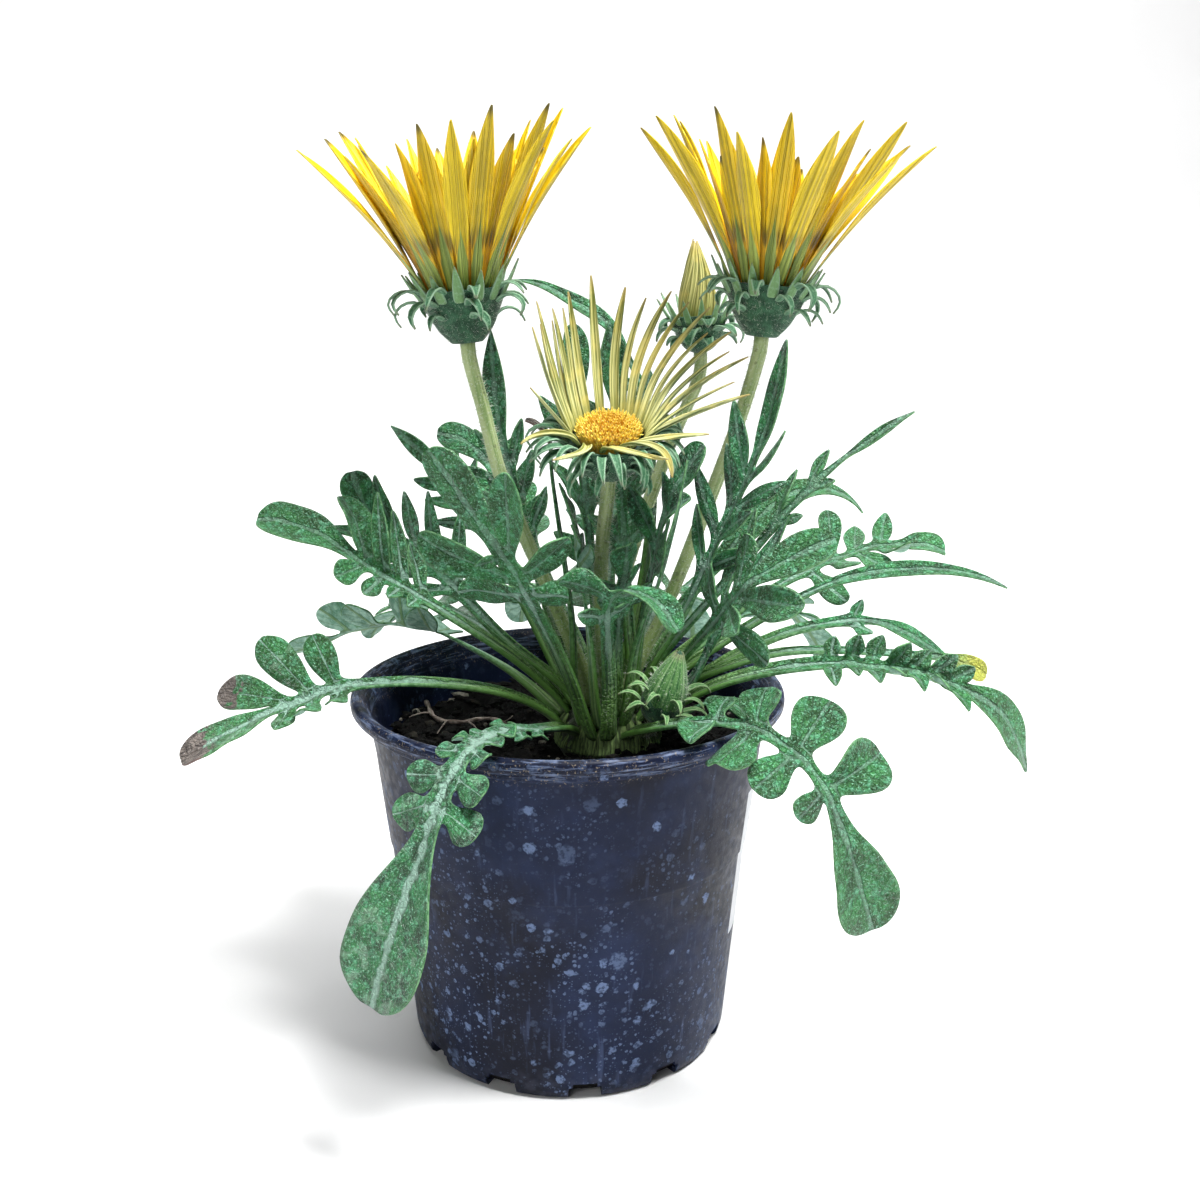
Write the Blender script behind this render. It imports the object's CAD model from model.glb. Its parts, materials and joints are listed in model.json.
"""The looks of a gazania growing in a round nursery pot.

Each piece follows the solid that it replaces, with the same sizes, in millimetres, and MM turns them into
metres. Sheets such as leaves and rays carry a "mark" on each point: how far along it lies, how far off
its middle line, and how near its edge. Their materials draw veins, stripes and margins from it.
"""

import json
import random
from math import atan2, cos, pi, radians, sin, sqrt, tau

import bmesh
import bpy
from mathutils import Matrix, Vector, geometry, noise

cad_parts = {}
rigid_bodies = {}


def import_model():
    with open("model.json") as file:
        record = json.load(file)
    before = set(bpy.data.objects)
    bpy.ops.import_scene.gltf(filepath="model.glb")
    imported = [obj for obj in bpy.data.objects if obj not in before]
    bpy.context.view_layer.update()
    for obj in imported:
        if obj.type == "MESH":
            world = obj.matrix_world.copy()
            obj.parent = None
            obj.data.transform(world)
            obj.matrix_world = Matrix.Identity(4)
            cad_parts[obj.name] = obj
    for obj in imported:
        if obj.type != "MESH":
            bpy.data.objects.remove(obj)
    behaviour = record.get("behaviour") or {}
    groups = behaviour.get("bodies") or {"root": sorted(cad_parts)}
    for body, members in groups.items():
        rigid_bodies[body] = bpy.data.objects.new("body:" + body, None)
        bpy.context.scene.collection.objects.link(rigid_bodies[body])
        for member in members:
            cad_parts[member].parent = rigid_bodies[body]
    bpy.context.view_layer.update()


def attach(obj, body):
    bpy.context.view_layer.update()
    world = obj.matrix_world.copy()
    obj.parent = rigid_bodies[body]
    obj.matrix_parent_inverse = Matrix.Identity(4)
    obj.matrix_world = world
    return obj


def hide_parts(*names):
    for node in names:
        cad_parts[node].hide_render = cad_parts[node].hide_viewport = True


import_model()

MM = 0.001
GAP = 0.3
UP = Vector((0, 0, 1))

# Pot
RIM_RADIUS = 60.0
POT_HEIGHT = 101.8
FOOT_RADIUS = 43.2
FLOOR = 1.8
POT_STEPS = 132
NOTCHES = 12
NOTCH_RADIUS = 43.5
NOTCH_DEPTH = 9.0
NOTCH_WIDTH = 9.0
NOTCH_HEIGHT = 5.0
NOTCH_TURN = radians(-85)

# The blank label on the pot's right side: each pair is where one of its edges starts and ends
LABEL_FOOT = (34.0, 34.3)
LABEL_TOP = (77.0, 77.3)
LABEL_START = (radians(-23.0), radians(-22.6))
LABEL_END = (radians(25.0), radians(25.4))

# Soil and crown
SOIL_TOP = 88.5
SOIL_RADIUS = 51.6
CROWN_CENTRE = Vector((11, -5, 88.5))
CROWN_RADIUS = 15.0
CROWN_RISE = 9.0
ROOT_RINGS = {"low": 13.6, "mid": 11.0, "top": 8.0, "stem": 4.2}
OLD_LEAF_BASES = 34
CRUMBS = 1500

# Leaves
PETIOLE_THICKNESS = 1.5
BLADE_THICKNESS = 0.5
PETIOLE_HALF_WIDTH = {"low": 2.3, "mid": 1.95, "top": 1.7}
BLUNT_LOBE = 6.5
LOBE_FAN = 5
LOBE_STAGGER = 14
LOBE_RIB_THINNING = 1.8
WIDE_LOBE_RIB_THINNING = 4.0
BLUNT_OUTLINE = ((0.13, 0.52), (0.33, 0.82), (0.56, 1.06), (0.78, 1.0), (0.93, 0.68), (1.01, 0.24))
POINTED_OUTLINE = ((0.2, 0.82), (0.46, 1.08), (0.74, 0.78), (1.02, 0.16))
BLUNT_END = (
    (0.05, 0.3), (0.2, 0.5), (0.36, 0.78), (0.52, 0.97), (0.68, 1.07), (0.84, 1.0), (0.95, 0.74),
    (1.01, 0.34),
)
POINTED_END = (
    (0.05, 0.34), (0.17, 0.64), (0.33, 0.94), (0.5, 1.06), (0.66, 0.92), (0.82, 0.58), (0.94, 0.26),
    (1.01, 0.06),
)

# Blooms
RAYS = 20
INMOST_RAYS = 16
RAY_OUTLINE = (
    (0, 1.15), (0.12, 1.3), (0.25, 1.85), (0.38, 2.6), (0.54, 3.5), (0.68, 3.2), (0.82, 2.2),
    (0.92, 1.2), (0.98, 0.5), (1, 0.15),
)
INMOST_OUTLINE = (
    (0, 2.0), (0.15, 2.2), (0.3, 2.6), (0.45, 3.1), (0.6, 3.2), (0.75, 2.5), (0.88, 1.4), (0.97, 0.5),
    (1, 0.15),
)
INNER_RAY = ((10.6, 16.4), (14.6, 25.2), (19.4, 34.8), (24.8, 44.8), (30.4, 54.8))
OUTER_RAY = ((11.2, 16.2), (16.6, 24.6), (23.0, 33.4), (30.4, 42.2), (38.0, 50.8))
INMOST_INSET = 1.4
SEAT_RISE = 2.0
SEAT_WALL = 0.9
STEM_RADIUS = 2.0
STEM_SINK = 0.8  # how far a stalk runs on into its cup
YOUNG_STEM_RADIUS = 1.3
ROUND_CUP = ((0.2, 0), (0.52, 0.12), (0.74, 0.36), (0.9, 0.68), (1, 1))
FLARED_CUP = ((0.34, 0), (0.6, 0.24), (0.78, 0.54), (0.91, 0.81), (1, 1))

# A cup's radius at the rim, height and inner floor radius, the rise of its inner bracts, the reach of its
# outer ones, and its outline
OPEN_CUP = (11.8, 13.4, 10.1, 6.0, 9.0, FLARED_CUP)
CUPS = {
    "left": OPEN_CUP,
    "right": OPEN_CUP,
    "faded": (11.8, 11.5, 10.6, 0, 11.0, ROUND_CUP),
    "closed_bud": (8.6, 11.0, 7.4, 6.0, 9.0, ROUND_CUP),
}
CUP_DEPTH = 2.6
OPEN_SEAT = 9.7
FADED_SEAT = 10.0

# Radius and rise of a disc's dome, and how many florets it has and the tallest one's height
OPEN_DISC = (8.2, 2.6, 170, 2.4)
FADED_DISC = (7.2, 4.6, 210, 4.0)

# Hairs on each cup, on the young bud and on each millimetre of a stalk
CUP_HAIRS = 1300
YOUNG_BUD_HAIRS = 700
STEM_HAIRS = 22
FADED_STEM_HAIRS = 34

# The photographer's place and lens, found from the pot's rim and foot in the photo
CAMERA_PLACE = (0, -0.36677, 0.22224)
CAMERA_PITCH = 0.25674
CAMERA_PAN = 0.024243
LENS = 41.45


# Materials


def srgb(*colour):
    """A colour on the usual 0 to 255 scale, as the shader's linear numbers."""
    shares = (c / 255 for c in colour)
    return (*(s / 12.92 if s < 0.04 else ((s + 0.055) / 1.055) ** 2.4 for s in shares), 1)


class Value:
    """A number or colour that a material works out. Sums and products of values add the nodes for them."""

    def __init__(self, look, socket):
        self.look = look
        self.socket = socket

    def __add__(self, other):
        return self.look.math("ADD", self, other)

    def __sub__(self, other):
        return self.look.math("SUBTRACT", self, other)

    def __mul__(self, other):
        return self.look.math("MULTIPLY", self, other)

    def __or__(self, other):
        """The greater of the two."""
        return self.look.math("MAXIMUM", self, other)

    def __abs__(self):
        return self.look.math("ABSOLUTE", self)

    def fade(self, low, high, to_low=0.0, to_high=1.0):
        """Runs smoothly from to_low at low to to_high at high."""
        inputs = {"Value": self, "From Min": low, "From Max": high, "To Min": to_low, "To Max": to_high}
        return self.look.node("MapRange", inputs, interpolation_type="SMOOTHSTEP")[0]

    def tinted(self, share, colour):
        """This colour with another laid over it by this share."""
        return self.look.mix(share, self, colour)


class Look:
    """A material whose pattern is put together by short calls. Its patterns are in millimetres."""

    def __init__(self, name, roughness):
        self.material = bpy.data.materials.new(name)
        self.material.use_nodes = True
        self.tree = self.material.node_tree
        self.shader = self.tree.nodes["Principled BSDF"].inputs
        self.shader["Roughness"].default_value = roughness
        self.place = self.vector("SCALE", self.node("TexCoord")["Object"], Scale=1 / MM)

    def node(self, kind, inputs=None, **settings):
        """Adds a node and gives its outputs, by place and by name."""
        made = self.tree.nodes.new("ShaderNode" + kind)
        for key, value in settings.items():
            setattr(made, key, value)
        for key, value in (inputs or {}).items():
            self.put(value, made.inputs[key])
        outputs = [Value(self, socket) for socket in made.outputs]
        return {**dict(enumerate(outputs)), **{value.socket.name: value for value in outputs}}

    def put(self, value, socket):
        if isinstance(value, Value):
            self.tree.links.new(value.socket, socket)
        else:
            socket.default_value = value

    def math(self, operation, first, second=0.0):
        return self.node("Math", {0: first, 1: second}, operation=operation)[0]

    def vector(self, operation, first, second=(0, 0, 0), **inputs):
        return self.node("VectorMath", {0: first, 1: second, **inputs}, operation=operation)[0]

    def mix(self, share, first, second):
        """A blend of two colours, each a value or red, green and blue from 0 to 255."""
        first, second = (srgb(*c) if isinstance(c, tuple) else c for c in (first, second))
        return self.node("Mix", {0: share, 6: first, 7: second}, data_type="RGBA")[2]

    def noise(self, scale, detail=3.0, vector=None, roughness=0.5):
        inputs = {"Vector": vector or self.place, "Scale": scale, "Detail": detail, "Roughness": roughness}
        return self.node("TexNoise", inputs)["Fac"]

    def streaks(self, detail, along, off, shift=0.0):
        """Noise that a sheet's marks draw out."""
        return self.noise(1.0, detail, self.node("CombineXYZ", {0: along, 1: off, 2: shift})[0])

    def warped(self, scale, amount):
        """The place, pushed about by noise."""
        pushed = self.node("TexNoise", {"Vector": self.place, "Scale": scale, "Detail": 3.0})["Color"]
        return self.vector("ADD", self.place, self.vector("SCALE", pushed, Scale=amount))

    def cells(self, scale, vector, feature="F1"):
        return self.node("TexVoronoi", {"Vector": vector, "Scale": scale}, feature=feature)

    def spots(self, scale, share, radius, vector):
        """Scattered round marks of many sizes, in this share of the cells."""
        cell = self.cells(scale, vector)
        lot = self.node("SeparateColor", {0: cell["Color"]})
        reach = lot[1].fade(0, 1, radius * 0.3, radius)
        return (reach - cell["Distance"]).fade(0, radius * 0.25) * self.math("LESS_THAN", lot[0], share)

    def mark(self):
        """Along, off the middle line, and edge, from 0 on the middle line to 1."""
        return self.split(self.node("Attribute", attribute_name="mark")["Vector"])

    def state(self):
        """Four shares that a builder gave the points."""
        found = self.node("Attribute", attribute_name="state")
        parts = self.node("SeparateColor", {0: found["Color"]})
        return parts[0], parts[1], parts[2], found["Alpha"]

    def split(self, vector):
        parts = self.node("SeparateXYZ", {0: vector})
        return parts[0], parts[1], parts[2]

    def finish(self, colour, height=None, relief=0.2, sheen=0.0, specular=0.5):
        """Sets the colour, and the relief, in millimetres, that the height makes."""
        self.put(colour, self.shader["Base Color"])
        self.put(sheen, self.shader["Sheen Weight"])
        self.put(specular, self.shader["Specular IOR Level"])
        if height is not None:
            bump = self.node("Bump", {"Height": height, "Strength": 1.0, "Distance": relief * MM})
            self.put(bump["Normal"], self.shader["Normal"])
        return self.material


def leaf_face_look(name="leaf_face", ribbed=False):
    """Deep green blade with a pale midrib, slanting side veins, a fine net, mottling and silvery down."""
    look = Look(name, 0.34)
    along, off, edge = look.mark()
    petiole, wilt, yellow, lot = look.state()
    aside = abs(off)
    colour = look.mix(look.noise(0.2, 4.0).fade(0.36, 0.64), (8, 60, 26), (44, 132, 68))
    colour = colour.tinted(lot.fade(0, 1, 0, 0.45), (62, 118, 48))
    colour = colour.tinted(look.noise(0.6, 3.0).fade(0.5, 0.66, 0, 0.6), (98, 182, 136))
    net = look.cells(0.75, look.warped(0.8, 0.8), "DISTANCE_TO_EDGE")["Distance"].fade(0.0, 0.16, 1, 0)
    slant = along - aside * 1.3 + look.noise(0.3) * 5.0
    beat = look.math("SINE", slant * 1.35)
    veins = beat.fade(0.86, 1.0) * edge.fade(0.55, 1.0, 1, 0.1) | net * 0.5
    colour = colour.tinted(veins * 0.35, (22, 66, 38))
    width = look.noise(0.16).fade(0.35, 0.65, 0.2, 0.7)
    if ribbed:
        width = look.noise(0.3, 5.0).fade(0.35, 0.65, 0.1, 0.8) * along.fade(60, 125, 1, 0.5)
    midrib = (aside - width).fade(0.0, 0.4, 1, 0)
    blade = petiole.fade(0.0, 0.1, 0.85 if ribbed else 0.34, 0.75)
    down = look.noise(1.9, 4.0, roughness=0.7)
    colour = colour.tinted(down.fade(0.53, 0.67, 0, 0.7), (152, 220, 184))
    colour = colour.tinted(down.fade(0.33, 0.46, 0.6, 0), (10, 44, 26))
    if ribbed:
        worn = (look.noise(0.24, 4.0) + along.fade(105, 135, 0, 0.2)).fade(0.56, 0.66, 0, 0.4)
        colour = colour.tinted(worn, (150, 186, 160))
    colour = colour.tinted(midrib * blade, (152, 190, 172))
    streaks = look.streaks(3.0, along * 0.05, off * 1.6)
    stalk = look.mix(streaks.fade(0.38, 0.62), (30, 78, 24), (118, 166, 84))
    stalk = stalk.tinted(streaks.fade(0.6, 0.7, 0, 0.7), (176, 204, 160))
    stalk = stalk.tinted(along.fade(4.0, 26.0, 0.5, 0), (104, 156, 60))
    colour = colour.tinted(petiole.fade(0.15, 0.75), stalk)
    colour = colour.tinted(edge.fade(0.88, 1.0, 0, 0.3), (120, 166, 120))
    colour = colour.tinted(yellow * 0.9, (196, 198, 80))
    dead = (wilt + look.noise(0.35, 3.0) * 2.4).fade(1.42, 1.5) * wilt.fade(0.04, 0.12)
    fibres = look.streaks(4.0, along * 0.25, off * 2.0)
    dry = look.mix(fibres.fade(0.36, 0.64), (58, 50, 46), (136, 126, 118))
    colour = colour.tinted(dead, dry)
    height = veins * -0.8 + look.noise(0.8, 4.0) * 1.2 - midrib
    height = height + streaks * (petiole * 1.5) + down * 0.5
    return look.finish(colour, height, 0.9, sheen=0.06, specular=0.5)


def leaf_under_look():
    """Pale blue-green felt with a green midrib."""
    look = Look("leaf_under", 0.75)
    along, off = look.mark()[:2]
    petiole, wilt, yellow = look.state()[:3]
    aside = abs(off)
    felt = look.mix(look.noise(0.5, 5.0).fade(0.35, 0.68), (104, 152, 128), (160, 200, 180))
    felt = felt.tinted(look.noise(3.0, 3.0, roughness=0.7).fade(0.5, 0.66, 0, 0.35), (192, 218, 204))
    slant = along - aside + look.noise(0.3) * 5.0
    veins = look.math("SINE", slant * 1.35).fade(0.8, 1.0)
    felt = felt.tinted(veins * 0.5, (92, 130, 88))
    midrib = aside.fade(0.5, 1.0, 1, 0)
    felt = felt.tinted(midrib * 0.7, (110, 146, 88))
    streaks = look.streaks(3.0, along * 0.05, off * 1.6)
    stalk = look.mix(streaks.fade(0.35, 0.65), (60, 102, 46), (134, 166, 104))
    felt = felt.tinted(petiole.fade(0.15, 0.75), stalk)
    felt = felt.tinted(wilt.fade(0.4, 0.8), (132, 118, 108))
    felt = felt.tinted(yellow * 0.8, (196, 196, 104))
    height = look.noise(2.5, 4.0) + midrib * 1.2
    return look.finish(felt, height, 0.4, sheen=0.15, specular=0.25)


def leaf_margin_look():
    look = Look("leaf_margin", 0.6)
    petiole, wilt, yellow = look.state()[:3]
    colour = look.mix(look.noise(0.8).fade(0.4, 0.6), (56, 104, 62), (104, 150, 104))
    colour = colour.tinted(petiole.fade(0.2, 0.8), (84, 126, 56))
    colour = colour.tinted(wilt.fade(0.4, 0.8), (110, 94, 88))
    colour = colour.tinted(yellow, (200, 196, 90))
    return look.finish(colour, look.noise(2.0), 0.15, specular=0.3)


def ray_look(name, base, deep, pale, foot, blotch, claws):
    """A ray's face: fine stripes, paler margins, and a warm foot with a dark band and, on claws, green."""
    look = Look(name, 0.42)
    along, off, edge = look.mark()
    tip, lot, inmost = look.state()[:3]
    lines = look.streaks(3.0, along * 0.012, off * 1.5, lot * 40)
    grooves = look.math("COSINE", off * 4.6).fade(0.2, 1.0)
    colour = look.mix(lines.fade(0.38, 0.62), deep, base)
    colour = colour.tinted(grooves * 0.15, deep)
    colour = colour.tinted(edge.fade(0.5, 0.95, 0, 0.9), pale)
    colour = colour.tinted(look.noise(0.12).fade(0.45, 0.7, 0, 0.35), pale)
    level = along + (lines - 0.5) * 8.0
    spotted = (lines + lot * 0.25).fade(0.5, 0.68)
    warm = look.mix(lines.fade(0.4, 0.6), (212, 158, 18), (238, 190, 34))
    colour = colour.tinted(level.fade(11.0, 15.0, 0.85, 0), warm)
    over = level.fade(10.0, 12.5) * level.fade(14.0, 18.0, 1, 0)
    colour = colour.tinted(over * (spotted * 0.8), blotch)
    reach = level.fade(2.0, 21.0, 2.1, 0.0) - abs(off)
    claw = reach.fade(-0.12, 0.3) * inmost.fade(0.4, 0.6, claws, 0)
    colour = colour.tinted(claw, look.mix(lines.fade(0.4, 0.6), (96, 122, 52), foot))
    dark_tip = tip.fade(0.92, 0.99) * lot.fade(0.4, 0.8)
    colour = colour.tinted(dark_tip * 0.85, (72, 70, 40))
    height = lines + grooves * -0.8
    return look.finish(colour, height, 0.4, specular=0.35)


def faded_ray_look(name, face, stripe):
    """A withering ray: pale, with olive stripes and a drying tip."""
    look = Look(name, 0.55)
    along, off = look.mark()[:2]
    tip, lot = look.state()[:2]
    lines = look.streaks(4.0, along * 0.04, off * 2.4, lot)
    colour = look.mix(lines.fade(0.42, 0.6), stripe, face)
    pleats = look.math("COSINE", off * 7.0).fade(0.2, 0.9, 0, 0.6)
    colour = colour.tinted(pleats, stripe)
    colour = colour.tinted(look.noise(0.12).fade(0.5, 0.66, 0, 0.35), (232, 208, 110))
    colour = colour.tinted(tip.fade(0.86, 1.0, 0, 0.7), (168, 148, 92))
    colour = colour.tinted(along.fade(2.0, 8.0, 0.6, 0), (150, 150, 74))
    return look.finish(colour, lines, 0.3, specular=0.35)


def woolly_look(name, dark, light, wool):
    """Skin under cobwebby hair."""
    look = Look(name, 0.8)
    skin = look.mix(look.noise(0.5, 4.0).fade(0.35, 0.65), dark, light)
    stretched = look.vector("MULTIPLY", look.warped(0.6, 1.5), (2.2, 2.2, 0.7))
    threads = look.noise(1.6, 5.0, stretched, 0.62)
    colour = skin.tinted(threads.fade(0.5, 0.74, 0, 0.55), wool)
    return look.finish(colour, threads, 0.25, sheen=0.2, specular=0.25)


def bract_look(name, dark, light, margin):
    look = Look(name, 0.65)
    along, off, edge = look.mark()
    tip, pale = look.state()[:2]
    lines = look.streaks(3.0, along * 0.1, off * 2.2)
    colour = look.mix(lines.fade(0.36, 0.64), dark, light)
    colour = colour.tinted(pale * 0.7, (124, 162, 104))
    colour = colour.tinted(look.noise(1.3, 4.0).fade(0.52, 0.7, 0, 0.6), margin)
    colour = colour.tinted(edge.fade(0.55, 0.98, 0, 0.85), margin)
    colour = colour.tinted(tip.fade(0.85, 1.0, 0, 0.5), (120, 104, 84))
    return look.finish(colour, look.noise(1.8, 4.0), 0.25, sheen=0.15, specular=0.3)


def stem_look():
    """Pale yellow-green skin with ribs, streaks and small specks."""
    look = Look("stem_skin", 0.55)
    along, off = look.mark()[:2]
    streaks = look.streaks(4.0, along * 0.05, off * 1.3)
    colour = look.mix(streaks.fade(0.35, 0.65), (128, 154, 92), (184, 198, 144))
    colour = colour.tinted(along.fade(8.0, 60.0, 0.45, 0), (118, 146, 72))
    specks = look.spots(0.7, 0.3, 0.5, look.warped(1.2, 0.6))
    colour = colour.tinted(specks * 0.55, (96, 106, 66))
    colour = colour.tinted(look.noise(1.8, 4.0).fade(0.54, 0.7, 0, 0.5), (206, 214, 184))
    return look.finish(colour, streaks, 0.4, sheen=0.1)


def hair_look(name, dark, light):
    look = Look(name, 0.6)
    colour = look.mix(look.noise(0.6).fade(0.4, 0.6), dark, light)
    return look.finish(colour, look.noise(4.0), 0.02, sheen=0.5)


def floret_look(name, throat, tip_colour):
    look = Look(name, 0.5)
    height = look.mark()[0]
    lot = look.state()[1]
    colour = look.mix(height.fade(0.2, 1.0), throat, tip_colour)
    colour = colour.tinted(lot.fade(0.4, 1.0, 0, 0.6), throat)
    return look.finish(colour, look.noise(3.0), 0.1, sheen=0.3)


def pot_look():
    """Dark moulded plastic with chalky drops of dried water, splashes, scuffs and dust."""
    look = Look("pot_plastic", 0.5)
    x, y, height = look.split(look.place)
    base = look.mix(look.noise(0.025, 3.0).fade(0.36, 0.64), (10, 14, 30), (18, 28, 54))
    haze = look.noise(0.07, 5.0, roughness=0.6).fade(0.46, 0.7)
    base = base.tinted(haze * 0.2, (50, 66, 106))
    big = look.spots(0.16, 0.24, 0.42, look.vector("MULTIPLY", look.warped(0.5, 3.2), (1, 1, 0.7)))
    drops = look.spots(0.34, 0.42, 0.5, look.warped(0.7, 1.6))
    small = look.spots(0.75, 0.4, 0.5, look.warped(1.3, 0.7))
    tiny = look.spots(1.7, 0.32, 0.5, look.warped(2.4, 0.35))
    few = look.spots(0.22, 0.16, 0.4, look.warped(0.6, 2.2))
    low_down = height.fade(8.0, 96.0, 1.0, 0.35)
    patch = look.noise(0.04, 2.0).fade(0.4, 0.56, 0.2, 1.0) * x.fade(-20, 35, 1, 0.5)
    worn = look.noise(0.9, 4.0, roughness=0.65).fade(0.38, 0.56, 0.25, 1.0)
    chalk = (big * 0.8 | drops * 0.85 | small * 0.8 | tiny * 0.5) * worn * (low_down * patch)
    chalk = chalk | few * worn * 0.7
    colour = base.tinted(chalk, (114, 134, 172))
    around = look.vector("MULTIPLY", look.place, (1, 1, 0.06))
    runs = look.noise(0.5, 3.0, around).fade(0.6, 0.74, 0, 0.3)
    colour = colour.tinted(runs * low_down, (84, 100, 138))
    swept = look.vector("MULTIPLY", look.place, (0.12, 0.12, 1.6))
    scuffs = look.noise(1.0, 5.0, swept, 0.6).fade(0.5, 0.66)
    at_rim = height.fade(POT_HEIGHT - 8, POT_HEIGHT - 4)
    colour = colour.tinted(scuffs * (at_rim * 0.6), (126, 142, 176))
    crumbs = look.noise(1.6, 5.0).fade(0.6, 0.68)
    ledge = height.fade(POT_HEIGHT - 9, POT_HEIGHT - 7) * crumbs
    colour = colour.tinted(ledge * 0.7, (140, 128, 112))
    dust = height.fade(0.0, 12.0, 1, 0) * look.noise(0.25, 4.0).fade(0.42, 0.7)
    colour = colour.tinted(dust * 0.35, (82, 86, 104))
    rough = chalk * 0.3 + look.noise(0.4, 4.0).fade(0.3, 0.7, 0.38, 0.54)
    look.put(rough, look.shader["Roughness"])
    angle = look.math("ARCTAN2", y, x)
    label = height.fade(*LABEL_FOOT) * height.fade(*LABEL_TOP, 1, 0)
    label = label * angle.fade(*LABEL_START) * angle.fade(*LABEL_END, 1, 0)
    paper = look.mix(look.noise(0.12, 4.0).fade(0.4, 0.7), (202, 204, 208), (190, 193, 198))
    paper = paper.tinted(look.noise(1.8, 4.0).fade(0.62, 0.72, 0, 0.3), (150, 152, 158))
    colour = colour.tinted(label, paper)
    relief = look.noise(2.2, 3.0) * 0.25 + chalk * 0.5 + label
    return look.finish(colour, relief, 0.12, specular=0.14)


def soil_look():
    look = Look("potting_soil", 0.95)
    colour = look.mix(look.noise(1.3, 6.0, roughness=0.65).fade(0.36, 0.66), (3, 3, 3), (17, 16, 15))
    crumbs = look.spots(0.9, 0.25, 0.5, look.warped(1.5, 0.8))
    colour = colour.tinted(crumbs * 0.5, (38, 35, 31))
    return look.finish(colour, look.noise(0.9, 6.0, roughness=0.7), 1.2, specular=0.2)


def crumb_look():
    """Bits of peat and bark, each of its own shade, and a few pale ones."""
    look = Look("soil_crumbs", 0.9)
    lot = look.state()[0]
    colour = look.mix(lot.fade(0.0, 0.6), (4, 4, 4), (16, 17, 15))
    colour = colour.tinted(lot.fade(0.84, 0.94), (42, 40, 34))
    colour = colour.tinted(lot.fade(0.97, 0.98), (136, 132, 122))
    colour = colour.tinted(look.noise(1.6, 4.0).fade(0.45, 0.7, 0, 0.5), (16, 13, 11))
    return look.finish(colour, look.noise(1.4, 5.0), 0.5, specular=0.2)


def bark_look(name, dark, light):
    look = Look(name, 0.85)
    along, off = look.mark()[:2]
    streaks = look.streaks(4.0, along * 0.2, off * 1.4)
    colour = look.mix(streaks.fade(0.35, 0.65), dark, light)
    colour = colour.tinted(look.noise(0.7, 5.0).fade(0.5, 0.7, 0, 0.6), dark)
    return look.finish(colour, streaks, 0.5)


# Shared shapes


def dress(name, mesh, looks, nodes=(), place=Matrix(), smooth=True):
    """Makes a piece of a mesh that is in metres, and has it ride on the plant and stand for its nodes."""
    if smooth:
        mesh.shade_smooth()
    for look in looks:
        mesh.materials.append(look)
    made = bpy.data.objects.new(name, mesh)
    made.matrix_world = place
    bpy.context.scene.collection.objects.link(made)
    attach(made, "root")
    if nodes:
        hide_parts(*nodes)
    return made


class Cage:
    """A mesh in the making, whose points carry their mark and state."""

    def __init__(self):
        self.points = []
        self.faces = []
        self.marks = []
        self.states = []
        self.bodies = []

    def point(self, place, mark=(0, 0, 0), state=(0, 0, 0, 0), body=0.0):
        self.points.append(place)
        self.marks.append(mark)
        self.states.append(state)
        self.bodies.append(body)
        return len(self.points) - 1

    def join(self, first, second):
        """Quads between two rows of points that run left to right, seen from above, the second further on."""
        for a, b, c, d in zip(first, first[1:], second[1:], second):
            self.faces.append((a, b, c, d))

    def strip(self, rows):
        for first, second in zip(rows, rows[1:]):
            self.join(first, second)

    def hoop(self, first, second):
        self.join([*first, first[0]], [*second, second[0]])

    def mesh(self, name):
        mesh = bpy.data.meshes.new(name)
        mesh.from_pydata([place * MM for place in self.points], [], self.faces)
        mark = mesh.attributes.new("mark", "FLOAT_VECTOR", "POINT")
        mark.data.foreach_set("vector", [value for values in self.marks for value in values])
        state = mesh.attributes.new("state", "FLOAT_COLOR", "POINT")
        state.data.foreach_set("color", [value for values in self.states for value in values])
        return mesh


def soften(piece, levels):
    smooth = piece.modifiers.new("Smooth", "SUBSURF")
    smooth.levels = smooth.render_levels = levels


def sheet(name, cage, looks, nodes, thickness, thin_share=1.0, levels=2, place=Matrix()):
    """A piece of sheets with a face, a back and maybe a margin. Points with body 1 get the full thickness."""
    piece = dress(name, cage.mesh(name), looks, nodes, place)
    soften(piece, levels)
    thicken = piece.modifiers.new("Thickness", "SOLIDIFY")
    thicken.thickness = thickness * MM
    thicken.offset = 0
    thicken.material_offset = 1
    thicken.material_offset_rim = min(2, len(looks) - 1)
    if thin_share < 1:
        group = piece.vertex_groups.new(name="body")
        for index, body in enumerate(cage.bodies):
            group.add([index], body, "REPLACE")
        thicken.vertex_group = "body"
        thicken.thickness_vertex_group = thin_share
    return piece


def polar(radius, angle, height=0.0):
    return Vector((radius * cos(angle), radius * sin(angle), height))


def spoke(angle):
    """The directions out from the axis and to the left of that."""
    return polar(1, angle), polar(1, angle + pi / 2)


def smooth_path(points, direction, arrival=None):
    """Fine points on a smooth curve through the given ones, with its first and maybe last direction given."""
    ways = [direction.normalized()]
    ways += [(b - a).normalized() for a, b in zip(points, points[2:])]
    last = (points[-1] - points[-2]).normalized()
    ways.append(arrival or (2 * last - ways[-1]).normalized())
    fine = []
    for a, b, way_a, way_b in zip(points, points[1:], ways, ways[1:]):
        reach = (b - a).length / 3
        fine += geometry.interpolate_bezier(a, a + way_a * reach, b - way_b * reach, b, 13)[:-1]
    return fine + [points[-1]]


def length_of(path):
    return sum((b - a).length for a, b in zip(path, path[1:]))


def at(path, fraction):
    """The point at this fraction of the path's length, and the direction there."""
    whole = length_of(path)
    left = fraction * whole
    for a, b in zip(path, path[1:]):
        step = (b - a).length
        if left <= step:
            return a.lerp(b, left / step), (b - a).normalized()
        left -= step
    way = (path[-1] - path[-2]).normalized()
    return path[-1] + way * (fraction - 1) * whole, way


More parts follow.
